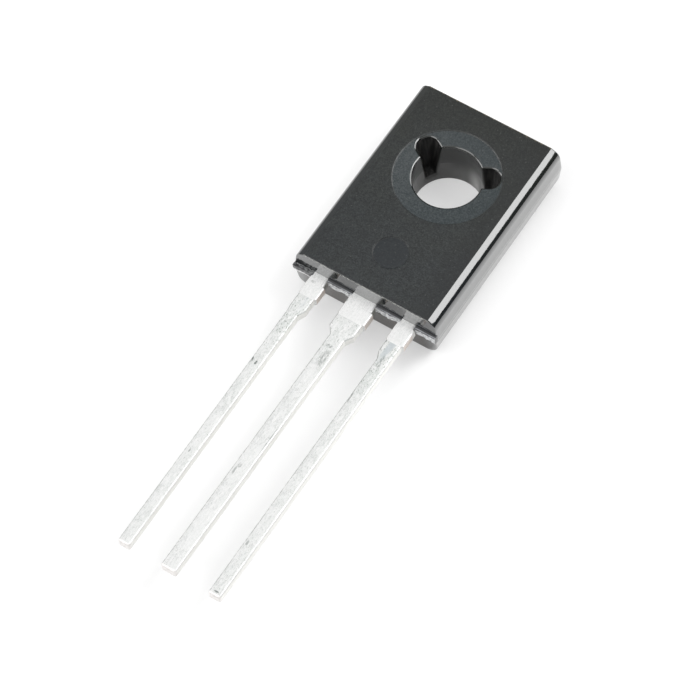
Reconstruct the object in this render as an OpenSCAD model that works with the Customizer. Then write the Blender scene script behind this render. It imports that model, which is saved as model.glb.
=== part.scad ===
// Power transistor in a flat moulded plastic package with three in-line leads and a
// through hole for a screw. All lengths in millimetres.
// It lies on its back: the metal back is in the plane Z = 0, +Z points to the marked
// front, +Y to the hole end and the leads run towards -Y. The origin is the centre of
// the screw hole on the back.

/* [Case] */
// Width of the case at the mould's parting plane
case_w = 7.56; // [7.4:0.02:7.8]
// Length of the case at the parting plane
case_l = 10.8; // [10.6:0.05:11.1]
// Thickness of the case, front to back
case_t = 2.7; // [2.5:0.05:3]
// From the hole centre to the hole end of the case
hole_to_end = 3.87; // [3.76:0.01:4.1]
// Slope of the end faces in the front half, in degrees
front_draft = 4.5; // [2:0.5:7]
// Slope of the end faces in the back half, in degrees
back_draft = 8; // [4:0.5:10]
// Slope of the long sides in the front half, in degrees
side_draft = 3; // [0.5:0.5:4]
// Width of the bevel along each long front edge
bevel_w = 0.25; // [0.1:0.05:0.4]
// Depth of that bevel
bevel_h = 0.145; // [0.05:0.005:0.25]
// Radius of the round between the bevel and the long side
shoulder_r = 0.5; // [0.4:0.05:0.6]
// Slope of that round's start at the bevel, in degrees from the front
shoulder_start = 36; // [30:1:50]
// Radius of the round along each long back edge
back_r = 0.75; // [0.5:0.05:1]
// Depth of the flat back cut off the start of that round
back_edge = 0.02; // [0.01:0.01:0.1]

/* [Screw hole] */
// Diameter of the screw hole
hole_d = 3.24; // [2.9:0.02:3.3]
// Plastic lining between the hole and the metal plate
lining = 0.34; // [0.25:0.02:0.5]
// Diameter of the shallow ring around the hole
ring_d = 5; // [4.6:0.1:5.4]
// Depth of the shallow ring
ring_depth = 0.04; // [0.02:0.01:0.1]
// Width of the two pin notches beside the hole
notch_w = 1.06; // [0.8:0.02:1.1]
// From the hole centre to the far end of each notch
notch_reach = 2.45; // [2.3:0.01:2.6]
// Angle of each notch above the sideways direction, in degrees
notch_angle = 30; // [15:1:45]

/* [Ejector mark] */
// Diameter of the round mark left by the ejector pin
ejector_d = 1.64; // [1:0.02:2]
// Depth of the mark
ejector_depth = 0.03; // [0.02:0.01:0.06]
// From the hole centre to the centre of the mark
hole_to_ejector = 4.69; // [4:0.01:5]

/* [Leads] */
// Distance between neighbouring leads
pitch = 2.37; // [2.2:0.01:2.54]
// Thickness of the leads and of the plate, one sheet
sheet = 0.5; // [0.39:0.01:0.6]
// From the back of the case to the back of the leads
back_to_lead = 1.35; // [1.2:0.01:1.5]
// Length of the leads outside the case
lead_l = 15.59; // [14.61:0.01:16.63]
// Width of the centre lead at its end
centre_w = 0.77; // [0.64:0.01:0.88]
// Width of each outer lead at its end
outer_w = 0.61; // [0.51:0.01:0.66]
// Extra width of each lead edge that steps in
shoulder_w = 0.2; // [0.1:0.01:0.24]
// Length of the wide part of the leads outside the case
shoulder_l = 1.88; // [1.5:0.01:2.1]
// Length of the taper from the wide part to the thin part
taper_l = 0.38; // [0.3:0.02:0.6]
// Length of the trimmed tie bar's stub on the lead edges
stub_l = 0.7; // [0.4:0.02:0.8]
// Width of the stub on the edges that face a neighbour
stub_w = 0.08; // [0.04:0.01:0.12]
// Width of the stub on the outer edges
outer_stub_w = 0.04; // [0.02:0.01:0.06]
// Gap between the case and the stub
stub_gap = 0.46; // [0.2:0.02:0.6]
// How far the thin resin web between the leads stands out of the end
web_l = 0.14; // [0.05:0.01:0.2]

/* [Metal plate] */
// Width of the plate inside the case
plate_w = 6; // [5.4:0.1:6.2]
// From the hole centre to the plate's end beyond the hole
plate_end = 3.3; // [2.9:0.05:3.4]
// From the hole centre to the plate's bend on the lead side
plate_to_bend = 4.45; // [4.4:0.05:4.6]
// Run of the slope that lifts the centre lead off the plate
bend_run = 0.95; // [0.7:0.05:1.1]
// Width of the rim that the case grips around the plate
grip_w = 0.3; // [0.2:0.05:0.5]
// Thickness of the case under that rim
grip_h = 0.2; // [0.1:0.02:0.26]

/* [Bond pads] */
// Width of the pad at the inner end of each outer lead
pad_w = 1.5; // [1.2:0.1:1.7]
// Length of that pad
pad_l = 1.1; // [0.8:0.1:1.2]
// From the pad to the outside of the case's end face
pad_cover = 0.5; // [0.4:0.05:0.7]

/* [Chip and wires] */
// Side of the square silicon chip
chip_w = 1.7; // [1.2:0.05:1.9]
// Thickness of the chip
chip_t = 0.24; // [0.15:0.01:0.3]
// Thickness of the solder under the chip
solder_t = 0.04; // [0.02:0.01:0.08]
// Rim of solder showing around the chip
solder_rim = 0.06; // [0.02:0.01:0.1]
// From the hole centre to the chip's centre
hole_to_chip = 3.15; // [3:0.05:3.25]
// Thickness of the bond wires
wire_d = 0.2; // [0.12:0.01:0.25]
// Rise of a wire's arc over the straight line between its ends
wire_rise = 0.62; // [0.5:0.02:0.7]
// Length of the pressed foot at each end of a wire
foot_l = 0.4; // [0.3:0.02:0.5]
// Width of the pressed foot
foot_w = 0.28; // [0.2:0.02:0.3]
// From the chip's edge to the foot on it
foot_edge = 0.1; // [0.05:0.01:0.2]
// Sideways distance of each wire's chip foot from the chip's centre
foot_x = 0.45; // [0.35:0.01:0.5]

/* [Hidden] */
$fn = 64;

// colours, red, green and blue from 0 to 1
epoxy_rgb = [0.2, 0.22, 0.23];
tin_rgb = [0.84, 0.84, 0.83];
silicon_rgb = [0.42, 0.43, 0.48];
solder_rgb = [0.66, 0.67, 0.68];
wire_rgb = [0.9, 0.9, 0.88];

// how far each cutting shape runs past the face it cuts
past = 1;
// heights of the mould's parting plane and of the leads' front side
parting_z = back_to_lead;
lead_top = back_to_lead + sheet;

// cross-section of the case: half widths and heights of its corners and rounds
part_x = case_w / 2;
shoulder_z = case_t - bevel_h - shoulder_r * cos(shoulder_start);
shoulder_x = part_x - tan(side_draft) * (shoulder_z - parting_z);
shoulder_cx = shoulder_x - shoulder_r;
bevel_x = shoulder_cx + shoulder_r * sin(shoulder_start);
flat_x = bevel_x - bevel_w;
back_cz = back_r - back_edge;
back_x = part_x - tan(side_draft) * (parting_z - back_cz);
back_cx = back_x - back_r;

// end faces of the case, along Y
lead_end = hole_to_end - case_l;
front_lean = tan(front_draft) * (case_t - parting_z);
back_lean = tan(back_draft) * parting_z;
function lead_end_at(z) = lead_end + tan(front_draft) * (z - parting_z);
web_end = lead_end_at(lead_top) - web_l;

// leads, along Y
tip_y = lead_end - lead_l;
taper_y = lead_end - shoulder_l;
thin_y = taper_y - taper_l;
stub_y = lead_end - stub_gap;
pad_y = lead_end + pad_cover;
bend_y = -plate_to_bend;
raised_y = bend_y - bend_run;
bend_shift = sheet * tan(atan2(back_to_lead, bend_run) / 2);

// heights of the chip and its wires
chip_z = sheet + solder_t;
chip_top = chip_z + chip_t;
foot_t = wire_d / 2;
chip_y = -hole_to_chip;
foot_y = chip_y - chip_w / 2 + foot_edge + foot_l / 2;
post_y = pad_y + pad_l / 2;

// right half of the case's cross-section, drawn with the back at the bottom
module half_section() {
    intersection() {
        square([part_x, case_t]);
        union() {
            // back half: rounded long edge and a sloping side
            square([back_cx, parting_z]);
            translate([back_cx, back_cz]) circle(r = back_r);
            polygon([[back_cx, back_cz], [back_x, back_cz], [part_x, parting_z],
                     [back_cx, parting_z]]);
            // front half: sloping side, round and bevel
            polygon([[0, parting_z], [part_x, parting_z], [shoulder_x, shoulder_z],
                     [shoulder_cx, shoulder_z], [bevel_x, case_t - bevel_h],
                     [flat_x, case_t], [0, case_t]]);
            translate([shoulder_cx, shoulder_z]) circle(r = shoulder_r);
        }
    }
}

// outside of the case before any hole: the section along Y, cut to the end slopes
module case_block() {
    intersection() {
        translate([0, past + hole_to_end, 0]) rotate([90, 0, 0])
            linear_extrude(height = case_l + 2 * past) {
                half_section();
                mirror([1, 0]) half_section();
            }
        translate([-case_w / 2 - past, 0, 0]) rotate([90, 0, 90])
            linear_extrude(height = case_w + 2 * past)
                polygon([[lead_end + back_lean, 0], [hole_to_end - back_lean, 0],
                         [hole_to_end, parting_z], [hole_to_end - front_lean, case_t],
                         [lead_end + front_lean, case_t], [lead_end, parting_z]]);
    }
}

// resin web at lead height that the trimming tool left between and beside the leads
module webs() {
    translate([-part_x, web_end, parting_z])
        cube([2 * part_x, lead_end_at(lead_top) - web_end + past, sheet]);
}

// one notch left by the pin that held the plate down in the mould
module notch(side) {
    reach = notch_reach - notch_w / 2;
    rotate([0, 0, side > 0 ? notch_angle : 180 - notch_angle])
        translate([0, 0, sheet]) {
            translate([reach, 0, 0]) cylinder(d = notch_w, h = case_t);
            translate([0, -notch_w / 2, 0]) cube([reach, notch_w, case_t]);
        }
}

module case() {
    color(epoxy_rgb) difference() {
        union() {
            case_block();
            webs();
        }
        translate([0, 0, -past]) cylinder(d = hole_d, h = case_t + 2 * past);
        translate([0, 0, case_t - ring_depth]) cylinder(d = ring_d, h = past);
        notch(1);
        notch(-1);
        translate([0, -hole_to_ejector, case_t - ejector_depth])
            cylinder(d = ejector_d, h = past);
        frame_shape();
        outer_lead_shape(-1);
        outer_lead_shape(1);
        solder_shape();
        chip_shape();
        wire_shape(-1);
        wire_shape(1);
    }
}

// plan of the part of a lead from y_from to its tip, between two edges given as
// [thin edge, step outwards at the shoulder, step outwards at the stub]
module lead_plan(left, right, y_from) {
    xl = left[0];
    xr = right[0];
    polygon([[xl, tip_y], [xr, tip_y], [xr, thin_y], [xr + right[1], taper_y],
             [xr + right[1], y_from], [xl - left[1], y_from], [xl - left[1], taper_y],
             [xl, thin_y]]);
    translate([xl - left[1] - left[2], stub_y - stub_l])
        square([xr + right[1] + right[2] - (xl - left[1] - left[2]), stub_l]);
}

// plate and centre lead: one sheet, bent up behind the chip
module frame_shape() {
    half_lead = centre_w / 2 + shoulder_w;
    difference() {
        union() {
            translate([-plate_w / 2, bend_y, grip_h])
                cube([plate_w, plate_end - bend_y, sheet - grip_h]);
            translate([-plate_w / 2 + grip_w, bend_y, 0])
                cube([plate_w - 2 * grip_w, plate_end - grip_w - bend_y, sheet]);
        }
        translate([0, 0, -past])
            cylinder(d = hole_d + 2 * lining, h = sheet + 2 * past);
    }
    translate([-half_lead, 0, 0]) rotate([90, 0, 90]) linear_extrude(height = 2 * half_lead)
        polygon([[bend_y + sheet, 0], [bend_y, 0], [raised_y, back_to_lead],
                 [raised_y - sheet, back_to_lead], [raised_y - sheet, lead_top],
                 [raised_y + bend_shift, lead_top], [bend_y + bend_shift, sheet],
                 [bend_y + sheet, sheet]]);
    edge = [centre_w / 2, shoulder_w, stub_w];
    translate([0, 0, back_to_lead]) linear_extrude(height = sheet)
        lead_plan([-edge[0], edge[1], edge[2]], edge, raised_y - sheet / 2);
}

module collector_frame() {
    color(tin_rgb) frame_shape();
}

// outer lead on the left (side -1) or right (side 1), with its bond pad
module outer_lead_shape(side) {
    inner = [-outer_w / 2, shoulder_w, stub_w];
    outer = [outer_w / 2, 0, outer_stub_w];
    translate([0, 0, back_to_lead]) linear_extrude(height = sheet)
        mirror([side < 0 ? 1 : 0, 0]) translate([pitch, 0]) {
            lead_plan(inner, outer, pad_y);
            translate([outer_w / 2 - pad_w, pad_y]) square([pad_w, pad_l]);
        }
}

module emitter_lead() {
    color(tin_rgb) outer_lead_shape(-1);
}

module base_lead() {
    color(tin_rgb) outer_lead_shape(1);
}

module solder_shape() {
    w = chip_w + 2 * solder_rim;
    translate([-w / 2, chip_y - w / 2, sheet]) cube([w, w, solder_t]);
}

module chip_solder() {
    color(solder_rgb) solder_shape();
}

module chip_shape() {
    translate([-chip_w / 2, chip_y - chip_w / 2, chip_z]) cube([chip_w, chip_w, chip_t]);
}

module chip() {
    color(silicon_rgb) chip_shape();
}

// bond wire from the chip to an outer lead: a flat foot at each end and an arc between
module wire_shape(side) {
    post_x = side * (pitch + outer_w / 2 - pad_w / 2);
    from_x = side * foot_x;
    run = norm([post_x - from_x, post_y - foot_y]);
    rise = lead_top - chip_top;
    chord = norm([run, rise]);
    radius = (chord * chord / 4 + wire_rise * wire_rise) / (2 * wire_rise);
    half_angle = asin(chord / 2 / radius);
    climb = atan2(rise, run);
    turn = atan2(post_y - foot_y, post_x - from_x);
    translate([from_x, foot_y, chip_top]) rotate([0, 0, turn]) {
        translate([-foot_l / 2, -foot_w / 2, 0]) cube([foot_l, foot_w, foot_t]);
        translate([run - foot_l / 2, -foot_w / 2, rise]) cube([foot_l, foot_w, foot_t]);
        translate([0, 0, wire_d / 2]) rotate([90, 0, 0]) rotate([0, 0, climb])
            translate([chord / 2, wire_rise - radius, 0])
                rotate([0, 0, 90 - half_angle])
                    rotate_extrude(angle = 2 * half_angle)
                        translate([radius, 0]) circle(d = wire_d);
    }
}

module emitter_wire() {
    color(wire_rgb) wire_shape(-1);
}

module base_wire() {
    color(wire_rgb) wire_shape(1);
}

case();
collector_frame();
emitter_lead();
base_lead();
chip();
chip_solder();
emitter_wire();
base_wire();
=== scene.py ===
from math import atan2, cos, pi, radians, sin, sqrt, tan

import bmesh
import bpy
from mathutils import Matrix, Vector, noise


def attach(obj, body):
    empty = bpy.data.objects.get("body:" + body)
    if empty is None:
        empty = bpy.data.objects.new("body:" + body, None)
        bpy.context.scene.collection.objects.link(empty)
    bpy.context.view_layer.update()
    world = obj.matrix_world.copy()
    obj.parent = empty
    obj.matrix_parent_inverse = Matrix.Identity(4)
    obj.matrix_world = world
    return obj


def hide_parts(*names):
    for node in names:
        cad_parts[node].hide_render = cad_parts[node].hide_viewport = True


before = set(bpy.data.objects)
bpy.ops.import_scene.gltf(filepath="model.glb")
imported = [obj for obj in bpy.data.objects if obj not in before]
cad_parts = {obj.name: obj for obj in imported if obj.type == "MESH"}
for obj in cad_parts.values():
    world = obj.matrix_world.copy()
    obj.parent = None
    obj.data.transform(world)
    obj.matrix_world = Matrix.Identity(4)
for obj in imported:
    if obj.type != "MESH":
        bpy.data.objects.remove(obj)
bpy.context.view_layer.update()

MM = 0.001


# ---------------------------------------------------------------- tinned copper
# All the metal is one half-hard copper strip, stamped, bent and tin plated, so every
# piece of it shares this finish: satin tin with rolling lines, grey scuffs where the
# tin is thin, and bare copper where the tie bars and the tips were cut.
class Tap:
    """A socket of a node tree. Arithmetic on it adds the Math nodes."""

    def __init__(self, tree, socket):
        self.tree = tree
        self.socket = socket

    def node(self, kind, settings=None, inputs=None, out=0):
        new = self.tree.nodes.new(kind)
        for name, value in (settings or {}).items():
            setattr(new, name, value)
        for name, value in (inputs or {}).items():
            if isinstance(value, Tap):
                self.tree.links.new(value.socket, new.inputs[name])
            else:
                new.inputs[name].default_value = value
        return Tap(self.tree, new.outputs[out])

    def math(self, operation, other=0.0):
        return self.node("ShaderNodeMath", {"operation": operation}, {0: self, 1: other})

    def __add__(self, other):
        return self.math("ADD", other)

    def __sub__(self, other):
        return self.math("SUBTRACT", other)

    def __rsub__(self, other):
        return self.node("ShaderNodeMath", {"operation": "SUBTRACT"}, {0: other, 1: self})

    def __mul__(self, other):
        return self.math("MULTIPLY", other)

    def __neg__(self):
        return self.math("MULTIPLY", -1.0)

    def size(self):
        return self.math("ABSOLUTE")

    def root(self):
        return self.math("SQRT")

    __radd__ = __add__
    __rmul__ = __mul__

    def ramp(self, low, high, from_value=0.0, to_value=1.0, kind="SMOOTHSTEP"):
        """The value eased from one end to the other while self goes from low to high."""
        return self.node("ShaderNodeMapRange", {"interpolation_type": kind},
                         {"Value": self, "From Min": low, "From Max": high,
                          "To Min": from_value, "To Max": to_value})

    def part(self, axis):
        """One coordinate of a position or of a direction."""
        return self.node("ShaderNodeSeparateXYZ", None, {0: self}, out=axis)

    def blend(self, a, b):
        """Colour a where self is 0 and colour b where it is 1."""
        def rgba(c):
            return c if isinstance(c, Tap) else (*c, 1)
        return self.node("ShaderNodeMix", {"data_type": "RGBA"},
                         {0: self, 6: rgba(a), 7: rgba(b)}, out=2)

    def stretched(self, x, y, z):
        """The position times these, so that a pattern on it is longer where they are small."""
        return self.node("ShaderNodeVectorMath", {"operation": "MULTIPLY"},
                         {0: self, 1: (x, y, z)})

    def grain(self, size, detail=2.0, rough=0.5):
        """Noise from 0 to 1 with features of about that size, in millimetres."""
        return self.node("ShaderNodeTexNoise", None,
                         {"Vector": self, "Scale": 1 / size, "Detail": detail,
                          "Roughness": rough})


def new_material(name):
    """The material, its shader, and its Object coordinates in millimetres."""
    material = bpy.data.materials.new(name)
    material.use_nodes = True
    tree = material.node_tree
    shader = tree.nodes["Principled BSDF"]
    coords = Tap(tree, tree.nodes.new("ShaderNodeTexCoord").outputs["Object"])
    place = coords.stretched(1 / MM, 1 / MM, 1 / MM)
    facing = Tap(tree, tree.nodes.new("ShaderNodeNewGeometry").outputs["Normal"])
    return material, shader, place, facing


def finish_shader(shader, links, **fixed):
    """Feeds the shader's sockets, from taps where they vary and with numbers elsewhere."""
    for name, tap in links.items():
        tap.tree.links.new(tap.socket, shader.inputs[name])
    for name, value in fixed.items():
        shader.inputs[name.replace("_", " ")].default_value = value


def bumped(height, strength, distance):
    return height.node("ShaderNodeBump", None, {"Height": height, "Strength": strength,
                                                "Distance": distance * MM})


# along the leads: where the stubs on the right edges start, on the base lead and on the
# others, where all the stubs end, the line that the punch pressed there, and the tips' edge
RIGHT_STUB_Y, BASE_STUB_Y, STUB_END = -7.41, -7.14, -8.12
PRESS_Y = -8.165
TIP_EDGE_Y = -22.45

tinned, shader, place, facing = new_material("tinned_copper")
x = place.part(0)
y = place.part(1)
on_top = facing.part(2).ramp(0.6, 0.95)
sideways = facing.part(0).size().ramp(0.6, 0.95)
rolling = place.stretched(1, 0.08, 1).grain(0.05, 3.0, 0.6)
clouds = place.stretched(1, 0.45, 1).grain(0.5, 4.0, 0.6)
scuffs = place.stretched(1.4, 0.6, 1).grain(0.10, 4.0, 0.65)
specks = place.stretched(1, 0.4, 1).grain(0.045, 2.0, 0.5)
scratches = place.stretched(1, 0.25, 1).grain(0.09, 5.0, 0.75)
past_press = y.ramp(PRESS_Y, PRESS_Y - 0.02)
mottled = past_press * y.ramp(-11.5, -10.2, 0.35, 1.0)
smears = place.stretched(1.2, 0.45, 1).grain(0.26, 5.0, 0.7)
creases = (smears - 0.5).size().ramp(0.022, 0.004) * clouds.ramp(0.38, 0.55)
outer_lead = x.size().ramp(1.2, 1.6, 0.55, 1.0)
worn = (scuffs + clouds * 0.4).ramp(0.58, 0.86) * (mottled * 0.6 + 0.10) * outer_lead
pitted = specks.ramp(0.56, 0.66) * scuffs.ramp(0.38, 0.55) * (mottled + 0.06) * outer_lead
scratched = scratches.ramp(0.64, 0.70) * past_press * 0.55

# thin places where the clamps held the strip, as (x, y, half width, half length, depth)
stains = None
for sx, sy, wide, long, depth in (
        (-2.46, -7.36, 0.14, 0.10, 0.35), (-2.64, -12.10, 0.10, 0.17, 1.2),
        (-2.38, -12.15, 0.07, 0.13, 1.0), (-2.68, -8.25, 0.05, 0.12, 0.5),
        (-0.08, -9.75, 0.20, 0.12, 0.5), (0.03, -10.45, 0.20, 0.55, 0.50),
        (-0.15, -16.75, 0.10, 0.16, 0.5), (-0.22, -17.10, 0.06, 0.30, 0.5),
        (0.26, -15.2, 0.03, 1.1, 0.55), (-0.67, -7.36, 0.04, 0.10, 0.8),
        (2.30, -9.25, 0.13, 0.40, 0.5), (2.12, -11.45, 0.04, 0.32, 0.8),
        (2.36, -22.30, 0.15, 0.045, 0.8), (2.20, -19.7, 0.08, 0.16, 0.45),
        (-2.42, -17.3, 0.04, 0.12, 0.6), (2.55, -8.0, 0.03, 0.1, 0.4)):
    along, across = (x - sx) * (1 / wide), (y - sy) * (1 / long)
    stain = (along * along + across * across).ramp(1.1, 0.2) * depth
    stains = stain if stains is None else stains.math("MAXIMUM", stain)
stains = stains * scuffs.ramp(0.36, 0.56, 0.08, 1.0) * on_top

# the bluish bands that the punch burnished on the outer leads
narrowing = y * 0.16 + 1.3
window = (x - narrowing * 0.3).ramp(2.09, 2.16) * (x - narrowing).ramp(2.50, 2.40)
window = window * past_press * y.ramp(-9.6, -8.6)
left_window = x.ramp(-2.34, -2.26) * x.ramp(-2.12, -2.2) * past_press * y.ramp(-9.2, -8.6)
window = (window + left_window * 0.4) * (clouds + scuffs * 0.5).ramp(0.4, 0.85, 0.3) * on_top

# the pressed line, and the bare copper of the cut stubs and tips
press_line = past_press * y.ramp(PRESS_Y - 0.075, PRESS_Y - 0.025)
press_line = press_line * on_top * scratches.ramp(0.35, 0.6)
cut_stub = y.ramp(STUB_END - 0.02, STUB_END + 0.02) * sideways
cut_stub = cut_stub * y.ramp(RIGHT_STUB_Y + 0.05, RIGHT_STUB_Y - 0.01)
cut_tip = (-facing.part(1)).ramp(0.8, 0.95) * y.ramp(TIP_EDGE_Y + 0.15, TIP_EDGE_Y)
bare = (cut_stub + cut_tip * 0.12) * (clouds * 0.5 + 0.45)

# painted light: the tin is paler next to the case than further out
lit_near_case = y.ramp(-8.1, -7.0)
tin_colour = lit_near_case.blend((0.75, 0.75, 0.745), (0.90, 0.90, 0.895))
lines = rolling * 0.4 + specks * 0.6
tin_colour = (lines.ramp(0.56, 0.42) * 0.5).blend(tin_colour, (0.60, 0.61, 0.60))
tin_colour = (smears.ramp(0.52, 0.68) * past_press * 0.4).blend(tin_colour, (0.58, 0.60, 0.58))
tin_colour = (creases * past_press * 0.55).blend(tin_colour, (0.30, 0.31, 0.30))
tin_colour = worn.blend(tin_colour, (0.48, 0.51, 0.49))
tin_colour = pitted.blend(tin_colour, (0.20, 0.23, 0.20))
tin_colour = scratched.blend(tin_colour, (0.45, 0.46, 0.45))
tin_colour = (press_line * 0.35).blend(tin_colour, (0.42, 0.43, 0.43))
tin_colour = window.blend(tin_colour, (0.45, 0.485, 0.50))
tin_colour = stains.blend(tin_colour, (0.10, 0.12, 0.11))
# painted light: the sides of the leads are paler than their tops, most of all near the case
side_sheen_colour = y.ramp(-16.0, -9.5).blend((0.85, 0.84, 0.81), (0.97, 0.96, 0.93))
tin_colour = (sideways * 0.9).blend(tin_colour, side_sheen_colour)
# painted shade: a dark line along the leads' left edges beyond the stubs
left_edge_shade = facing.part(0).ramp(-0.10, -0.35) * facing.part(2).ramp(0.25, 0.45)
left_edge_shade = left_edge_shade * y.ramp(-7.9, -8.2) * scuffs.ramp(0.36, 0.56, 0.2, 0.8)
tin_colour = left_edge_shade.blend(tin_colour, (0.22, 0.225, 0.22))
tin_colour = bare.blend(tin_colour, (0.62, 0.52, 0.46))
at_tip = y.ramp(TIP_EDGE_Y + 0.07, TIP_EDGE_Y)
tin_colour = (at_tip * 0.8).blend(tin_colour, (0.86, 0.83, 0.81))

# painted shade: the edges from the case to the stubs, and the stubs' inner steps, are painted
# dark grey where they sit in the corner by the case and the webs
from_stub_start = y - x.ramp(1.5, 2.0, RIGHT_STUB_Y, BASE_STUB_Y)
corner_shade = facing.part(0).size().ramp(0.72, 0.9) * from_stub_start.ramp(-0.01, 0.01)
step_shade = facing.part(1).ramp(0.3, 0.6) * from_stub_start.ramp(-0.06, -0.03)
corner_shade = corner_shade.math("MAXIMUM", step_shade * y.ramp(-6.9, -7.0))
tin_colour = (corner_shade * 0.95).blend(tin_colour, (0.31, 0.31, 0.29))
tin_rough = rolling * 0.16 + clouds * 0.12 + worn * 0.12 + 0.22
tin_bump = bumped(rolling * 0.5 + scuffs * 0.5 + specks * 0.4, 0.3, 0.01)
finish_shader(shader, {"Base Color": tin_colour, "Roughness": tin_rough, "Normal": tin_bump},
              Metallic=0.4)


# ---------------------------------------------------------------- heat plate
# The plate end of the collector strip. Its back is flush with the case and carries the
# heat away; a stepped rim inside the case locks it into the resin.
def new_piece(name, bm, material):
    """The piece's object from a mesh in millimetres, smooth, with its faces outwards."""
    bmesh.ops.remove_doubles(bm, verts=bm.verts, dist=1e-5)
    bmesh.ops.recalc_face_normals(bm, faces=bm.faces)
    bmesh.ops.transform(bm, matrix=Matrix.Scale(MM, 4), verts=bm.verts)
    mesh = bpy.data.meshes.new(name)
    bm.to_mesh(mesh)
    bm.free()
    mesh.shade_smooth()
    mesh.materials.append(material)
    piece = bpy.data.objects.new(name, mesh)
    bpy.context.scene.collection.objects.link(piece)
    return piece


def add_loop(bm, points):
    return [bm.verts.new(p) for p in points]


def bridge(bm, first, second):
    """Quads between two closed loops of as many points."""
    count = len(first)
    for i in range(count):
        j = (i + 1) % count
        bm.faces.new((first[i], first[j], second[j], second[i]))


def close_flat(bm, *loops):
    """Flat faces between an outline and the loops inside it."""
    edges = []
    for loop in loops:
        for i, vert in enumerate(loop):
            pair = (vert, loop[(i + 1) % len(loop)])
            edges.append(bm.edges.get(pair) or bm.edges.new(pair))
    bmesh.ops.triangle_fill(bm, use_beauty=True, edges=edges)


def arc(cx, cy, radius, start, end, count):
    """Points on an arc, angles in degrees."""
    steps = (radians(start + (end - start) * i / count) for i in range(count + 1))
    return [(cx + radius * cos(a), cy + radius * sin(a)) for a in steps]


def rounded_box(x_low, x_high, y_low, y_high, radius, long_count, short_count, corner=5):
    """Outline of a rectangle with round corners, evenly divided along its sides."""
    corners = ((x_high - radius, y_low + radius, -90), (x_high - radius, y_high - radius, 0),
               (x_low + radius, y_high - radius, 90), (x_low + radius, y_low + radius, 180))
    counts = (long_count, short_count, long_count, short_count)
    points = []
    for i, (cx, cy, start) in enumerate(corners):
        turn = arc(cx, cy, radius, start, start + 90, corner)
        nx, ny, next_start = corners[(i + 1) % 4]
        goal = arc(nx, ny, radius, next_start, next_start + 90, corner)[0]
        points += turn
        for k in range(1, counts[i]):
            share = k / counts[i]
            points.append((turn[-1][0] + (goal[0] - turn[-1][0]) * share,
                           turn[-1][1] + (goal[1] - turn[-1][1]) * share))
    return points


def at_height(points, height):
    return [(px, py, height) for px, py in points]


SHEET = 0.5
LEAD_BACK = 1.35
PLATE_HALF, PLATE_LOW, PLATE_HIGH = 2.7, -4.45, 3.0
PLATE_CORNER_R = 0.12
PLATE_HOLE = 1.96
RIM = 0.3
RIM_Z = 0.2

bm = bmesh.new()
outer = []
for grow, height in ((-0.03, 0), (-0.008, 0.008), (0, 0.03), (0, RIM_Z), (RIM, RIM_Z),
                     (RIM, SHEET - 0.03), (RIM - 0.03, SHEET)):
    low = PLATE_LOW + (0.03 if height in (0, SHEET) else 0)
    outer.append(add_loop(bm, at_height(
        rounded_box(-PLATE_HALF - grow, PLATE_HALF + grow, low, PLATE_HIGH + grow,
                    PLATE_CORNER_R, 16, 16), height)))
inner = []
for grow, height in ((0.03, 0), (0.008, 0.008), (0, 0.03), (0, 0.25), (0, SHEET - 0.03),
                     (0.03, SHEET)):
    inner.append(add_loop(bm, at_height(
        arc(0, 0, PLATE_HOLE + grow, 0, 360, 96)[:-1], height)))
for loops in (outer, inner):
    for first, second in zip(loops, loops[1:]):
        bridge(bm, first, second)
close_flat(bm, outer[0], inner[0])
close_flat(bm, outer[-1], inner[-1])
heat_plate = new_piece("heat_plate", bm, tinned)
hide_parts("collector_frame")
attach(heat_plate, "root")


# ---------------------------------------------------------------- stamped leads
# The three leads come off the same strip. Each is wide next to the case, with the cut
# stubs of the tie bar on its edges, and narrows to the thin part for the board. The
# punch leaves their edges slightly round.
LEFT_STUB_Y = -7.12
SHOULDER_Y, TAPER, THIN_Y = -8.82, 0.38, -9.4
TIP_Y = -22.518
LEFT_EDGE_R, RIGHT_EDGE_R, TIP_EDGE_R = 0.05, 0.11, 0.10
PAD_Y = -6.43
BEND_Y, BEND_RUN = -4.45, 0.95
WAVINESS = 0.013


class Shape(Tap):
    """The same wrapper for a Geometry Nodes tree."""

    def node(self, kind, settings=None, inputs=None, out=0):
        return Shape(self.tree, super().node(kind, settings, inputs, out).socket)


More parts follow.
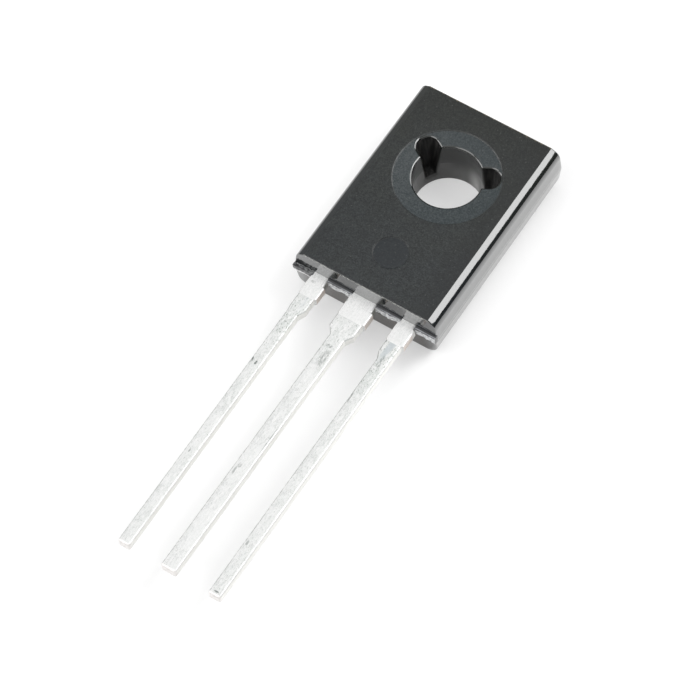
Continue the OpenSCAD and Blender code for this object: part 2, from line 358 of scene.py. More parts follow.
def lead_tree():
    """A lead from its inner end to its tip: a grid wrapped round a rounded section whose
    two edges step in and out along the lead."""
    rows, turn = 520, 6
    columns = 4 * turn + 1
    wide_rows, tip_rows = 330, 7
    tree = bpy.data.node_groups.new("stamped_lead", "GeometryNodeTree")
    tree.interface.new_socket("Geometry", in_out="OUTPUT",
                              socket_type="NodeSocketGeometry")
    for name in ("Inner Y", "Tip Y", "Left", "Right", "Left Shoulder", "Right Shoulder",
                 "Left Stub", "Right Stub", "Left Stub Y", "Right Stub Y", "Left Pad",
                 "Right Pad", "Bend", "Lean", "Seed"):
        tree.interface.new_socket(name, in_out="INPUT", socket_type="NodeSocketFloat")
    tree.interface.new_socket("Material", in_out="INPUT",
                              socket_type="NodeSocketMaterial")
    group = tree.nodes.new("NodeGroupInput")
    given = {s.name: Shape(tree, s) for s in group.outputs if s.name}

    grid = tree.nodes.new("GeometryNodeMeshGrid")
    grid.inputs["Vertices X"].default_value = rows
    grid.inputs["Vertices Y"].default_value = columns
    where = Shape(tree, tree.nodes.new("GeometryNodeInputPosition").outputs[0])
    row = ((where.part(0) + 0.5) * (rows - 1.0)).math("ROUND")
    column = ((where.part(1) + 0.5) * (columns - 1.0)).math("ROUND")

    # which corner of the section a column belongs to, and its angle on that corner
    corner = ((column + 0.01) * (1.0 / turn)).math("FLOOR")
    step = column - corner * float(turn)
    angle = corner * (pi / 2) + step * (pi / 2 / (turn - 1))
    half_turn = corner * (pi / 2) + pi / 4
    to_right = half_turn.math("COSINE").math("SIGN")
    to_front = half_turn.math("SINE").math("SIGN")
    radius = to_right * ((RIGHT_EDGE_R - LEFT_EDGE_R) / 2) + (RIGHT_EDGE_R + LEFT_EDGE_R) / 2

    # along the lead: even rows, then a few that turn the edge of the tip
    last = rows - 1.0
    round_off = row.ramp(last - tip_rows, last - 1, kind="LINEAR")
    swing = round_off * (pi / 2)
    tip_in = (1 - swing.math("COSINE")) * TIP_EDGE_R
    body_y = row.ramp(0.0, wide_rows, given["Inner Y"], THIN_Y, kind="LINEAR")
    body_y = body_y + row.ramp(wide_rows, last - tip_rows, 0.0,
                               given["Tip Y"] + TIP_EDGE_R - THIN_Y, kind="LINEAR")
    y = body_y - swing.math("SINE") * TIP_EDGE_R
    is_end = row.math("LESS_THAN", 0.5) + row.math("GREATER_THAN", last - 0.5)

    # the two edges, with the shoulder, the cut stubs and the bond pad
    wobble_at = where.node("ShaderNodeCombineXYZ", None,
                           {0: given["Seed"] + to_right * 3.0, 1: y})
    wobble = where.node("ShaderNodeTexNoise", None,
                        {"Vector": wobble_at, "Scale": 1.6, "Detail": 3.0}) - 0.5
    shoulder = y.ramp(SHOULDER_Y - TAPER, SHOULDER_Y, kind="LINEAR")
    neck = y.ramp(-7.4, -6.9, 0.0, 0.02, kind="LINEAR")
    stub_end = y.ramp(STUB_END - 0.03, STUB_END + 0.03, kind="LINEAR")
    left_stub = stub_end * y.ramp(given["Left Stub Y"] + 0.05, given["Left Stub Y"],
                                  kind="LINEAR")
    right_stub = stub_end * y.ramp(given["Right Stub Y"] + 0.05, given["Right Stub Y"],
                                   kind="LINEAR")
    pad = y.ramp(PAD_Y, PAD_Y + 0.06)
    drift = given["Lean"] * y.ramp(SHOULDER_Y - TAPER, given["Tip Y"], kind="LINEAR")
    left = (given["Left"] - shoulder * given["Left Shoulder"] + neck
            - left_stub * given["Left Stub"] - pad * given["Left Pad"])
    right = (given["Right"] + shoulder * given["Right Shoulder"] - neck
             + right_stub * given["Right Stub"] + pad * given["Right Pad"])

    # the section at this place, closed to a point at both ends, and the bend to the plate
    centre = (left + right) * 0.5
    half = (right - left) * 0.5
    x = centre + to_right * (half - radius - tip_in) + angle.math("COSINE") * radius
    x = x + drift + wobble * WAVINESS
    z = to_front * (SHEET / 2 - radius - tip_in) + angle.math("SINE") * radius
    x = x + is_end * (centre + drift - x)
    z = z - is_end * z
    rise = y.ramp(BEND_Y - BEND_RUN, BEND_Y, LEAD_BACK, 0.0, kind="LINEAR")
    z = z + SHEET / 2 + LEAD_BACK + (rise - LEAD_BACK) * given["Bend"]
    moved = where.node("ShaderNodeCombineXYZ", None, {0: x * MM, 1: y * MM, 2: z * MM})
    lead = where.node("GeometryNodeSetPosition", None,
                      {"Geometry": Shape(tree, grid.outputs[0]), "Position": moved})
    lead = where.node("GeometryNodeMergeByDistance", None,
                      {"Geometry": lead, "Distance": 1e-8})
    lead = where.node("GeometryNodeRealizeInstances", None, {"Geometry": lead})
    lead = where.node("GeometryNodeSetMaterial", None,
                      {"Geometry": lead, "Material": given["Material"]})
    out = tree.nodes.new("NodeGroupOutput")
    tree.links.new(lead.socket, out.inputs[0])
    return tree


def stamped_lead(name, tree, **sizes):
    """The lead as a plain mesh, from the node tree with these sizes, in millimetres."""
    piece = bpy.data.objects.new(name, bpy.data.meshes.new(name))
    bpy.context.scene.collection.objects.link(piece)
    growth = piece.modifiers.new("lead", "NODES")
    growth.node_group = tree
    sockets = {s.name: s.identifier for s in tree.interface.items_tree
               if s.in_out == "INPUT"}
    for socket, value in sizes.items():
        growth[sockets[socket.replace("_", " ")]] = float(value)
    growth[sockets["Material"]] = tinned
    bpy.context.view_layer.update()
    grown = piece.evaluated_get(bpy.context.evaluated_depsgraph_get())
    mesh = bpy.data.meshes.new_from_object(grown)
    piece.modifiers.remove(growth)
    bm = bmesh.new()
    bm.from_mesh(mesh)
    bmesh.ops.remove_doubles(bm, verts=bm.verts, dist=1e-8)
    bmesh.ops.dissolve_degenerate(bm, edges=bm.edges, dist=1e-9)
    bmesh.ops.recalc_face_normals(bm, faces=bm.faces)
    bm.to_mesh(mesh)
    bm.free()
    mesh.shade_smooth()
    mesh.name = name
    piece.data = mesh
    return piece


lead_shape = lead_tree()
collector_lead = stamped_lead(
    "collector_lead", lead_shape, Inner_Y=-4.3, Tip_Y=TIP_Y, Left=-0.388, Right=0.383,
    Left_Shoulder=0.279, Right_Shoulder=0.25, Left_Stub=0.035, Right_Stub=0.10,
    Left_Stub_Y=LEFT_STUB_Y, Right_Stub_Y=RIGHT_STUB_Y, Left_Pad=0, Right_Pad=0, Bend=1,
    Lean=0, Seed=1)
emitter_lead = stamped_lead(
    "emitter_lead_tinned", lead_shape, Inner_Y=-5.33, Tip_Y=TIP_Y, Left=-2.68,
    Right=-2.083, Left_Shoulder=0.04, Right_Shoulder=0.173, Left_Stub=0.035, Right_Stub=0.09,
    Left_Stub_Y=LEFT_STUB_Y, Right_Stub_Y=RIGHT_STUB_Y, Left_Pad=0, Right_Pad=0.8, Bend=0,
    Lean=0.06, Seed=21)
base_lead = stamped_lead(
    "base_lead_tinned", lead_shape, Inner_Y=-5.33, Tip_Y=TIP_Y, Left=2.058, Right=2.675,
    Left_Shoulder=0.154, Right_Shoulder=0, Left_Stub=0.064, Right_Stub=0.10,
    Left_Stub_Y=LEFT_STUB_Y, Right_Stub_Y=BASE_STUB_Y, Left_Pad=0.8, Right_Pad=0, Bend=0,
    Lean=0, Seed=43)
for piece, node in ((collector_lead, "collector_frame"), (emitter_lead, "emitter_lead"),
                    (base_lead, "base_lead")):
    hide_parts(node)
    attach(piece, "root")


# ---------------------------------------------------------------- chip and its solder
# The transistor itself is a square of silicon, metallised on top in cells with dark
# streets between them. A thin fillet of solder holds it to the plate.
silicon, shader, place, facing = new_material("silicon")
streets = place.node("ShaderNodeTexBrick", {"offset": 0.0},
                     {"Vector": place, "Scale": 1.0, "Mortar Size": 0.012,
                      "Brick Width": 0.85, "Row Height": 0.425,
                      "Color1": (0.62, 0.62, 0.64, 1), "Color2": (0.55, 0.56, 0.6, 1),
                      "Mortar": (0.05, 0.06, 0.09, 1)})
finish_shader(shader, {"Base Color": streets, "Roughness": place.grain(0.2) * 0.2 + 0.12},
              Metallic=0.9)

solder, shader, place, facing = new_material("solder")
frost = place.grain(0.06, 4.0, 0.6)
finish_shader(shader, {"Base Color": frost.blend((0.42, 0.43, 0.44), (0.66, 0.67, 0.68)),
                       "Roughness": frost * 0.3 + 0.3,
                       "Normal": bumped(frost, 0.4, 0.01)}, Metallic=1.0)
for node, material in (("chip", silicon), ("chip_solder", solder)):
    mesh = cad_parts[node].data
    mesh.materials.clear()
    mesh.materials.append(material)


# ---------------------------------------------------------------- bond wires
# Two drawn aluminium wires join the chip to the pads of the outer leads. Their ends are
# pressed on cold, with no solder.
aluminium, shader, place, facing = new_material("drawn_aluminium")
draw_lines = place.grain(0.03, 3.0, 0.6)
finish_shader(shader, {"Base Color": draw_lines.blend((0.74, 0.75, 0.76), (0.9, 0.9, 0.9)),
                       "Roughness": draw_lines * 0.2 + 0.2,
                       "Normal": bumped(draw_lines, 0.2, 0.004)}, Metallic=1.0)
for node in ("emitter_wire", "base_wire"):
    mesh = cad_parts[node].data
    mesh.materials.clear()
    mesh.materials.append(aluminium)


# ---------------------------------------------------------------- moulded case
# Filled epoxy, moulded round the metal in one shot. The mould is spark-finished where it
# makes the front and the ring round the hole, and polished everywhere else, so the bevels,
# sides and ends shine like glass while the front stays matte.
FRONT, PARTING = 2.7, 1.35
HALF_WIDTH, CASE_X = 3.75, -0.03
LOW_END, HIGH_END = -6.93, 3.87
SHOULDER_R, SHOULDER_START = 0.5, 36
BEVEL_W, BEVEL_H = 0.25, 0.145
BACK_R, LEFT_BACK_R, BACK_CUT = 0.75, 0.50, 0.02
EDGE_R, FRONT_CUT, UPRIGHT_R = 0.03, 0.012, 0.06
SIDE_SLOPE = tan(radians(3))
FRONT_SLOPE, BACK_SLOPE = tan(radians(4.5)), tan(radians(8))
SHOULDER_Z = FRONT - BEVEL_H - SHOULDER_R * cos(radians(SHOULDER_START))
SHOULDER_X = HALF_WIDTH - SIDE_SLOPE * (SHOULDER_Z - PARTING) - SHOULDER_R
BEVEL_X = SHOULDER_X + SHOULDER_R * sin(radians(SHOULDER_START))
SEAM, SEAM_DEPTH = 0.02, 0.012


def seam_dip(height):
    """The hairline where the two halves of the mould meet."""
    return SEAM_DEPTH if abs(height - PARTING) < SEAM / 2 else 0.0


def side_x(height, back_r):
    """Half width of the case at a height, with that radius along its back edge."""
    if height > FRONT - BEVEL_H:
        return BEVEL_X - BEVEL_W * (height - FRONT + BEVEL_H) / BEVEL_H
    if height > SHOULDER_Z:
        return SHOULDER_X + sqrt(SHOULDER_R ** 2 - (height - SHOULDER_Z) ** 2)
    back_z = back_r - BACK_CUT
    if height > back_z:
        return HALF_WIDTH - SIDE_SLOPE * abs(height - PARTING) - seam_dip(height)
    back_x = HALF_WIDTH - SIDE_SLOPE * (PARTING - back_z) - back_r
    return back_x + sqrt(max(back_r ** 2 - (back_z - height) ** 2, 0))


def end_in(height):
    """How far the end faces lie inside the case's length at a height."""
    if height > PARTING:
        lean = FRONT_SLOPE * (height - PARTING)
    else:
        lean = BACK_SLOPE * (PARTING - height)
    near = min(FRONT - height, height)
    rounding = EDGE_R - sqrt(EDGE_R ** 2 - (EDGE_R - near) ** 2) if near < EDGE_R else 0
    return lean + rounding + seam_dip(height)


heights = [FRONT - d for d in (0, 0.001, 0.004, 0.009, 0.017, 0.03, 0.06, 0.1)]
heights += [SHOULDER_Z + SHOULDER_R * cos(radians(a)) for a in range(SHOULDER_START, 91, 3)]
heights += [1.95, 1.7, PARTING + 0.1, PARTING + SEAM, PARTING, PARTING - SEAM,
            PARTING - 0.1, 1.1]
heights += [BACK_R - BACK_CUT - BACK_R * sin(radians(a)) for a in range(0, 75, 5)]
heights += [0.017, 0.009, 0.004, 0.0]
heights = sorted(set(h for h in heights if h >= 0), reverse=True)

bm = bmesh.new()
skin = []
for i, height in enumerate(heights):
    inset = end_in(height)
    top_cut = FRONT_CUT if i == 0 else 0
    x_low = CASE_X - side_x(height, LEFT_BACK_R) + top_cut
    x_high = CASE_X + side_x(height, BACK_R) - top_cut
    skin.append(add_loop(bm, at_height(
        rounded_box(x_low, x_high, LOW_END + inset, HIGH_END - inset, UPRIGHT_R, 40, 30),
        height)))
for first, second in zip(skin, skin[1:]):
    bridge(bm, first, second)

# the screw hole with its two pin notches, as points with the direction into the resin
HOLE_R, NOTCH_HALF, NOTCH_END, NOTCH_ANGLE = 1.62, 0.53, 2.42, 30
NOTCH_C = NOTCH_END - NOTCH_HALF
NOTCH_FLOOR = 0.52
NOTCH_DRAFT = tan(radians(8))
FILLET_R, FILLET_GROWTH = 0.085, 0.09
RING_R, RING_TOP_R, RING_DEPTH = 2.47, 2.52, 0.04
ring_floor = FRONT - RING_DEPTH


def notched_hole(height):
    """The outline at a height. The pins were tapered, so the notches narrow downwards and
    the fillets at their mouths grow."""
    depth = max(ring_floor - height, 0)
    notch_half = NOTCH_HALF - depth * NOTCH_DRAFT
    fillet_r = FILLET_R + depth * FILLET_GROWTH
    fillet_y = notch_half + fillet_r
    fillet_x = sqrt((HOLE_R + fillet_r) ** 2 - fillet_y ** 2)
    meet = atan2(fillet_y, fillet_x) * 180 / pi

    def around(cx, cy, radius, start, end, count, inwards=1):
        for px, py in arc(cx, cy, radius, start, end, count):
            yield px, py, inwards * (px - cx) / radius, inwards * (py - cy) / radius

    def one_notch(axis):
        own = list(around(fillet_x, -fillet_y, fillet_r, 180 - meet, 90, 8, -1))
        for k in range(1, 6):
            own.append((fillet_x + (NOTCH_C - fillet_x) * k / 6, -notch_half, 0, -1))
        own += around(NOTCH_C, 0, notch_half, -90, 90, 40)
        for k in range(1, 6):
            own.append((NOTCH_C - (NOTCH_C - fillet_x) * k / 6, notch_half, 0, 1))
        own += around(fillet_x, fillet_y, fillet_r, 270, 180 + meet, 8, -1)
        c, s = cos(radians(axis)), sin(radians(axis))
        return [(px * c - py * s, px * s + py * c, nx * c - ny * s, nx * s + ny * c)
                for px, py, nx, ny in own]

    right, left = NOTCH_ANGLE, 180 - NOTCH_ANGLE
    points = one_notch(right)
    points += list(around(0, 0, HOLE_R, right + meet, left - meet, 60))[1:-1]
    points += one_notch(left)
    points += list(around(0, 0, HOLE_R, left + meet, 360 + right - meet, 180))[1:-1]
    return points


def at_reach(outline, reach, height):
    """The outline's points moved in or out to one distance from the hole's axis."""
    return [(reach * px / sqrt(px * px + py * py), reach * py / sqrt(px * px + py * py), height)
            for px, py, nx, ny in outline]


# down over the ring's step, the rim of the hole, its wall and the edge on the plate
hole = notched_hole(FRONT)
around_hole = []
for reach, down in ((2.60, 0), (2.53, 0), (RING_TOP_R, 0.002), (2.511, 0.007), (2.487, 0.031),
                    (2.480, 0.037), (RING_R, RING_DEPTH)):
    around_hole.append(add_loop(bm, at_reach(hole, reach, FRONT - down)))
for out, down in ((0.083, 0), (0.076, 0.002), (0.066, 0.006), (0.018, 0.031), (0.008, 0.040),
                  (0.002, 0.054), (0, 0.075)):
    around_hole.append(add_loop(bm, [
        (px + nx * out, py + ny * out, ring_floor - down) for px, py, nx, ny in hole]))
for height in (2.5, 2.3, 2.1, 1.9, 1.7, 1.5, 1.3, 1.1, 0.9, 0.7, NOTCH_FLOOR):
    around_hole.append(add_loop(bm, at_height([p[:2] for p in notched_hole(height)], height)))
for reach, height in ((HOLE_R, NOTCH_FLOOR - 0.03), (HOLE_R, 0.2), (HOLE_R, 0.04),
                      (HOLE_R + 0.01, 0.01), (HOLE_R + 0.04, 0), (PLATE_HOLE - 0.02, 0),
                      (PLATE_HOLE - 0.004, 0.006), (PLATE_HOLE, 0.05)):
    around_hole.append(add_loop(bm, at_reach(notched_hole(NOTCH_FLOOR), reach, height)))
for first, second in zip(around_hole, around_hole[1:]):
    bridge(bm, first, second)

# the shallow round mark of the ejector pin
MARK_X, MARK_Y, MARK_R = -0.03, -4.69, 0.86
mark = []
for reach, down in ((MARK_R + 0.04, 0), (MARK_R, 0), (0.845, 0.002), (0.832, 0.012),
                    (0.824, 0.026), (0.812, 0.034), (0.79, 0.036), (0.74, 0.030),
                    (0.4, 0.030), (0.1, 0.030)):
    mark.append(add_loop(bm, at_height(
        arc(MARK_X, MARK_Y, reach, 0, 360, 96)[:-1], FRONT - down)))
for first, second in zip(mark, mark[1:]):
    bridge(bm, first, second)
close_flat(bm, mark[-1])
close_flat(bm, skin[0], around_hole[0], mark[0])

# the back, with the pocket that the heat plate fills
pocket = []
for grow, height in ((0.03, 0), (0.008, 0.006), (0, 0.02), (0, 0.05)):
    pocket.append(add_loop(bm, at_height(
        rounded_box(-PLATE_HALF - grow, PLATE_HALF + grow, PLATE_LOW - grow,
                    PLATE_HIGH + grow, PLATE_CORNER_R, 24, 20), height)))
for first, second in zip(pocket, pocket[1:]):
    bridge(bm, first, second)
close_flat(bm, skin[-1], pocket[0])
close_flat(bm, pocket[-1], around_hole[-1])

epoxy, shader, place, facing = new_material("filled_epoxy")
x = place.part(0)
y = place.part(1)
z = place.part(2)
from_hole = (x * x + y * y).root()
mark_x, mark_y = x - MARK_X, y - MARK_Y
from_mark = (mark_x * mark_x + mark_y * mark_y).root()
upright = facing.part(2)

# the parts that the spark-finished steel made
front = z.ramp(FRONT - 0.006, FRONT - 0.002)
near_front = z.ramp(FRONT - 0.2, FRONT - 0.1)
ring = (1 - from_hole.ramp(RING_R, RING_R + 0.02)) * z.ramp(ring_floor - 0.006,
                                                          ring_floor - 0.002)
pin_mark = (1 - from_mark.ramp(0.77, 0.81)) * near_front
matte = front.math("MAXIMUM", ring) * upright.ramp(0.93, 0.985)
matte = matte.math("MAXIMUM", (1 - from_mark.ramp(MARK_R, MARK_R + 0.04)) * near_front)
matte = matte.math("MAXIMUM", upright.ramp(-0.9, -0.98) * 0.6)

# the colour of the front, darker towards the hole end and the right side
mottle = place.grain(1.4, 4.0, 0.6)
spark = place.grain(0.12, 3.0, 0.65)
fine = place.grain(0.06, 1.0, 0.5)
filler = place.node("ShaderNodeTexVoronoi", None, {"Vector": place, "Scale": 4.6})
flecks = filler.ramp(0.15, 0.05) * place.grain(0.5).ramp(0.40, 0.6)
grit = place.grain(0.10, 2.0, 0.6).ramp(0.60, 0.74)
shade = (spark * 0.55 + fine * 0.45).ramp(0.38, 0.66, 0.0, 1.0, kind="LINEAR")
shade = shade * y.ramp(3.5, 0.0, 0.6, 1.0) * x.ramp(1.6, 3.2, 1.0, 0.45)
cloudy = mottle * 0.6 + y.ramp(-5.5, 3.5, 0.0, 0.5, kind="LINEAR")
dark_resin = cloudy.blend((0.0000, 0.0010, 0.0030), (0.0000, 0.0010, 0.0000))
pale_resin = cloudy.blend((0.0190, 0.0250, 0.0280), (0.0190, 0.0220, 0.0160))
resin = (matte * shade + (1 - matte) * 0.4).blend(dark_resin, pale_resin)
in_ring = ring * upright.ramp(0.9, 0.98)
resin = in_ring.blend(resin, shade.blend((0.0100, 0.0165, 0.0185), (0.0370, 0.0450, 0.0480)))
resin = (pin_mark * 0.7).blend(resin, (0.0020, 0.0050, 0.0080))
# a painted highlight along the ring's step, dotted, brightest on its lit left side
past_step = from_hole.ramp(RING_TOP_R, RING_TOP_R + 0.01)
step = from_hole.ramp(RING_R, RING_R + 0.01) * (1 - past_step) * near_front
lit_side = x.ramp(-1.0, -2.0, 0.55, 1.3) * y.ramp(1.6, 0.4, 0.5, 1.0)
lit_side = lit_side * y.ramp(-2.5, -1.2, 0.4, 1.0)
resin = (step * spark.ramp(0.3, 0.6, 0.3, 1.0) * lit_side).blend(resin, (0.052, 0.057, 0.058))
matte = matte.math("MAXIMUM", step * 0.9)

# painted highlights along both ends of the front, and pale grains of filler
# a pale painted highlight along the edge at the lead end
lip_highlight = y.ramp(-6.80, -6.84) * z.ramp(2.60, 2.66) * upright.ramp(0.99, 0.9)
resin = (lip_highlight * spark.ramp(0.42, 0.6)).blend(resin, (0.34, 0.34, 0.31))
resin = (matte * grit * (in_ring * 0.3 + 0.5)).blend(resin, (0.045, 0.050, 0.048))
resin = (matte * flecks * 0.5).blend(resin, (0.10, 0.105, 0.10))
# a warm painted highlight, dotted, along the edge at the hole end
edge_highlight = front * (place.grain(0.12, 3.0, 0.6) + y.ramp(3.62, 3.80, 0.0, 0.5)).ramp(0.72, 0.9)
resin = (edge_highlight * y.ramp(3.55, 3.7)).blend(resin, (0.090, 0.072, 0.045))

# the polished wall of the hole with painted light from the floor low down, and the dark
# streaked notches, one chipped
wall = (1 - from_hole.ramp(2.40, 2.43)) * (1 - z.ramp(ring_floor - 0.10, ring_floor - 0.07))
in_notch = wall * from_hole.ramp(HOLE_R + 0.02, HOLE_R + 0.12)
streaks = place.stretched(1, 1, 0.06).grain(0.13, 3.0, 0.6)
# painted light: the lower wall of the hole is pale where the floor lights it
floor_bounce_light = (x * 0.82 + y * 0.57).ramp(0.9, 1.6, 0.17, 1.0) * z.ramp(1.8, 0.4)
resin = (wall * floor_bounce_light).blend(resin, (0.62, 0.62, 0.61))
# painted light: the sides below the parting line are paler
lower_side_sheen = z.ramp(PARTING + 0.01, PARTING - 0.04) * facing.part(0).size().ramp(0.3, 0.6)
resin = lower_side_sheen.blend(resin, (0.10, 0.10, 0.098))
resin = in_notch.blend(resin, streaks.ramp(0.4, 0.7).blend((0.001, 0.001, 0.001),
                                                           (0.030, 0.029, 0.027)))
left_axis = radians(180 - NOTCH_ANGLE)
across_notch = x * -sin(left_axis) + y * cos(left_axis)
chip_mark = in_notch * across_notch.ramp(0.13, 0.18) * z.ramp(0.80, 0.92) * z.ramp(1.35, 1.25)
resin = chip_mark.blend(resin, (0.085, 0.080, 0.070))

# the lead end, with painted warm shade on the end below the leads, and a smooth flap of resin
# on its left
at_low_end = y.ramp(-6.6, -6.7)
off_centre = x.size()
shade_under_leads = at_low_end * z.ramp(LEAD_BACK + 0.03, LEAD_BACK - 0.02)
shade_under_leads = shade_under_leads * off_centre.ramp(3.5, 2.9)
resin = shade_under_leads.blend(resin, (0.030, 0.022, 0.016))
end_face = facing.part(1).size().ramp(0.8, 0.95)
left_end = end_face * at_low_end * x.ramp(-2.66, -2.70)
flap_top = x.ramp(-2.85, -3.4, 1.62, 1.98) + place.grain(0.45, 3.0) * 0.30
flap = left_end * (z - flap_top).ramp(0.02, -0.02) * z.ramp(1.80, 1.84)

resin_rough = matte * (spark * 0.16 + 0.33 - ring * 0.02) + (1 - matte) * (
    mottle * 0.04 + 0.05 + wall * 0.25 + in_notch * 0.3 + flap * 0.35)
texture = bumped(spark * (matte * 0.9) + fine * (matte * 0.4)
                 + mottle * (0.9 - matte * 0.9), 0.5, 0.022)

# the polished parts carry a clear gloss, weaker where the mould was worn
slope = 1 - upright.size()
gloss = (1 - matte) * (1 - wall * 0.95) * slope.ramp(0.1, 0.75, 0.2, 1.0)
between_leads = off_centre.ramp(0.50, 0.85) * off_centre.ramp(2.10, 1.75)
between_leads = between_leads + x.ramp(2.60, 2.95)
end_dimmed = end_face * y.ramp(-6.5, -6.6) * (between_leads * 0.14 + 0.20)
gloss = gloss * (1 - shade_under_leads * 0.55) * (1 - end_dimmed) * (1 - in_notch)
rim = z.ramp(2.54, 2.58) * (1 - from_hole.ramp(2.43, 2.46))
gloss = gloss * (1 - flap) * (1 - rim * 0.25)
finish_shader(shader, {"Base Color": resin, "Roughness": resin_rough, "Normal": texture,
                       "Coat Weight": gloss}, IOR=1.5, Coat_Roughness=0.04, Coat_IOR=2.5)
case = new_piece("moulded_case", bm, epoxy)
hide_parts("case")
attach(case, "root")


# ---------------------------------------------------------------- resin webs
# Resin fills the gaps in the lead strip out to the dam bar. When the bar is punched off, a
# thin web stays on the case beside each lead, smooth on top and torn along its outer face.
# A thin flap of resin lies folded over the left one.
WEB_TOP = LEAD_BACK + SHEET
WEB_INNER, WEB_START, TORN_FROM = -6.80, -6.945, -6.96
WEB_STEP, TORN_ROWS = 0.022, 13


def resin_web(bm, x_from, x_to, reach, undercut, sag, seed):
    """One web: rows across its section, moved in and out along the torn face, which
    slopes back to the case over the lowest part of its height. The top may sag."""
    section = [(WEB_INNER, LEAD_BACK), (-6.90, LEAD_BACK), (-6.95, LEAD_BACK)]
    for k in range(TORN_ROWS + 1):
        up = 0.008 + (SHEET - 0.016) * k / TORN_ROWS
        out = (reach - WEB_START) * min(1, up / undercut)
        section.append((WEB_START + out, LEAD_BACK + up))
    section += [(reach + 0.02, WEB_TOP), (TORN_FROM, WEB_TOP), (-6.955, WEB_TOP - 0.02),
                (-6.935, WEB_TOP - 0.02), (LOW_END, WEB_TOP), (WEB_INNER, WEB_TOP)]
    count = int((x_to - x_from) / WEB_STEP)
    rows = []
    for i in range(count + 1):
        px = x_from + (x_to - x_from) * i / count
        row = []
        for py, pz in section:
            torn = 0.0
            if py < TORN_FROM:
                spot = Vector((px * 3 + seed, pz * 1.2, seed))
                torn = noise.fractal(spot, 0.7, 2.3, 5) * 0.04
                torn += abs(noise.noise(Vector((px * 9, pz * 4, seed + 5)))) * 0.03 - 0.01
                torn = min(0.06, max(-0.03, torn))
            if sag and pz > WEB_TOP - 0.03 and py < -6.9:
                pz += min(0, noise.fractal(Vector((px * 4, py * 9, seed)), 0.7, 2.3, 4)) * sag
            row.append((px, py + torn, pz))
        rows.append(add_loop(bm, row))
    for first, second in zip(rows, rows[1:]):
        bridge(bm, first, second)
    for row in (rows[0], rows[-1]):
        bm.faces.new(row)


bm = bmesh.new()
for x_from, x_to, reach, undercut, sag, seed in (
        (-3.76, -2.68, -7.09, 0.15, 0.12, 3.1), (-1.97, -0.65, -7.035, 0.12, 0, 11.7),
        (0.60, 1.93, -7.035, 0.12, 0, 23.3), (2.64, 3.72, -7.045, 0.12, 0, 37.9)):
    resin_web(bm, x_from, x_to, reach, undercut, sag, seed)

torn_resin, shader, place, facing = new_material("torn_epoxy")
x = place.part(0)
y = place.part(1)
height = place.part(2)
outward = (-facing.part(1)).ramp(0.3, 0.6)
left = x.ramp(-2.60, -2.70)
chips = place.stretched(0.7, 1, 1.5).grain(0.09, 5.0, 0.7)
planes = place.stretched(1, 0.05, 1).grain(0.5, 2.0, 0.5).ramp(0.35, 0.62)
ragged = place.stretched(1, 0.3, 0.3).grain(0.35, 3.0, 0.6) * 0.36 - 0.18

# the pale torn face with painted glints, dull on the left web, whose lower edge carries a
# painted white highlight instead
dull = x.ramp(-2.7, -2.6, 0.15, 1.0)
torn_band = (height + ragged).ramp(1.46, 1.52) * height.ramp(WEB_TOP - 0.015, WEB_TOP - 0.05)
pale = outward * torn_band * dull
glint = pale * chips.ramp(0.38, 0.60)
lower_edge_glint = outward * left * (height + ragged * 0.12).ramp(1.60, 1.57)

# the flap over the left web, and a painted reflection on the smooth strip along the top of
# every web
wave = x.ramp(-3.30, -2.95) * x.ramp(-2.70, -2.78)
flap = left * (1 - outward) * (y + wave * 0.17 + ragged * 0.08).ramp(-6.95, -6.94)
flap = flap * height.ramp(1.60, 1.65)
strip = (1 - outward) * y.ramp(-6.965, -6.975) * y.ramp(-7.035, -7.015)
strip = strip * height.ramp(WEB_TOP - 0.05, WEB_TOP - 0.01)
strip = strip * (planes * 0.7 + 0.3) * (dull * 0.8 + 0.2)

colour = strip.blend((0.070, 0.071, 0.074), (0.34, 0.35, 0.37))
colour = (outward * left * planes).blend(colour, (0.020, 0.019, 0.022))
colour = flap.blend(colour, (0.19, 0.195, 0.195))
colour = lower_edge_glint.blend(colour, (0.93, 0.93, 0.93))
colour = pale.blend(colour, (0.38, 0.40, 0.41))
colour = glint.blend(colour, (0.88, 0.89, 0.90))
finish_shader(shader, {"Base Color": colour, "Roughness": outward * 0.3 + chips * 0.1 + 0.06,
                       "Normal": bumped(chips * outward, 0.8, 0.04)}, IOR=1.5)
webs = new_piece("resin_webs", bm, torn_resin)
webs.data.set_sharp_from_angle(angle=radians(35))
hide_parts("case")
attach(webs, "root")


# ---------------------------------------------------------------- floor and light
# A sheet of white paper in an even white studio. One soft lamp stands high on the right
# and one behind, and two weaker ones fill in from the left and from the front left.
FLOOR_HALF, FLOOR_Z = 600, -0.02
bm = bmesh.new()
corners = [bm.verts.new((sx * FLOOR_HALF * MM, sy * FLOOR_HALF * MM, FLOOR_Z * MM))
           for sx, sy in ((-1, -1), (1, -1), (1, 1), (-1, 1))]
bm.faces.new(corners)
mesh = bpy.data.meshes.new("table_top")
bm.to_mesh(mesh)
bm.free()
table = bpy.data.objects.new("table_top", mesh)
bpy.context.scene.collection.objects.link(table)
paper = bpy.data.materials.new("white_paper")
paper.use_nodes = True
tree = paper.node_tree
tree.nodes.remove(tree.nodes["Principled BSDF"])
path = tree.nodes.new("ShaderNodeLightPath")
seen = Tap(tree, path.outputs["Is Camera Ray"]) * 0.40
seen = seen + Tap(tree, path.outputs["Is Glossy Ray"]) * 0.12
matt = seen.node("ShaderNodeBsdfDiffuse", None, {"Color": (0.88, 0.88, 0.88, 1)})
glow = seen.node("ShaderNodeEmission", None, {"Color": (1, 1, 1, 1), "Strength": 1.0})
both = seen.node("ShaderNodeMixShader", None, {0: seen, 1: matt, 2: glow})
tree.links.new(both.socket, tree.nodes["Material Output"].inputs["Surface"])
mesh.materials.append(paper)

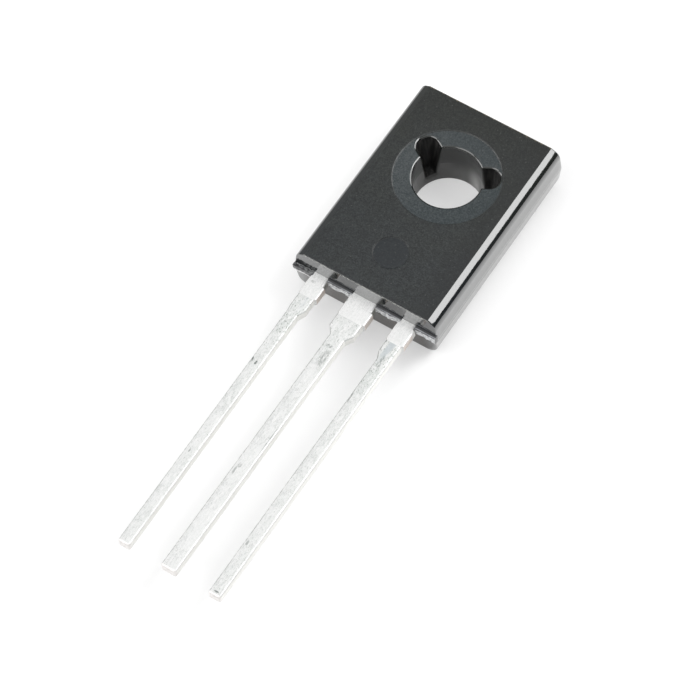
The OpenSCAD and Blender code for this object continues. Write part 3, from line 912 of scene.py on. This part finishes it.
# the sky is bright overhead and dim near the floor, dimmest on the right
world = bpy.data.worlds.new("studio")
bpy.context.scene.world = world
world.use_nodes = True
tree = world.node_tree
direction = Tap(tree, tree.nodes.new("ShaderNodeTexCoord").outputs["Generated"])
path = tree.nodes.new("ShaderNodeLightPath")
seen = Tap(tree, path.outputs["Is Camera Ray"])
height = direction.part(2)
low_sky = direction.part(0).ramp(-0.3, -0.8, 0.08, 0.44)
low_height = direction.part(0).ramp(0.3, 0.7, 0.25, 0.45)
sky = height.ramp(low_height, 0.85, low_sky, 0.93) + height.ramp(0.92, 0.99) * 0.5
strength = seen + (1 - seen) * sky
background = tree.nodes["Background"]
background.inputs["Color"].default_value = (1, 1, 1, 1)
tree.links.new(strength.socket, background.inputs["Strength"])


LAMP_DISTANCE = 0.5


def soft_lamp(name, towards, size, radiance):
    """A square lamp that faces the object, by the brightness of its face."""
    data = bpy.data.lights.new(name, "AREA")
    data.shape = "SQUARE"
    data.size = size
    data.energy = radiance * size * size * pi
    lamp = bpy.data.objects.new(name, data)
    place = Vector(towards).normalized() * LAMP_DISTANCE
    turned = place.to_track_quat("Z", "Y").to_matrix().to_4x4()
    lamp.matrix_world = Matrix.Translation(place) @ turned
    bpy.context.scene.collection.objects.link(lamp)


soft_lamp("soft_lamp_right", (0.50, 0.44, 0.75), 0.2, 7.6)
soft_lamp("soft_lamp_behind", (0.34, 0.76, 0.52), 0.25, 4.5)
soft_lamp("soft_lamp_front_left", (-0.29, -0.57, 0.77), 0.28, 2.5)
soft_lamp("soft_lamp_left", (-0.78, -0.33, 0.53), 0.22, 4.0)


# ---------------------------------------------------------------- camera
# A long lens looks down on the part from beyond the lead tips, a little from the right,
# so the lines of the case stay almost parallel.
data = bpy.data.cameras.new("camera")
data.sensor_width = 36
data.lens = 169.5893
data.clip_start = 0.005
data.clip_end = 5
camera = bpy.data.objects.new("camera", data)
camera.location = (0.043419, -0.066730, 0.128596)
camera.rotation_euler = (radians(29.31545), radians(2.16342), radians(32.78925))
bpy.context.scene.collection.objects.link(camera)
bpy.context.scene.camera = camera

scene = bpy.context.scene
scene.view_settings.view_transform = "Standard"
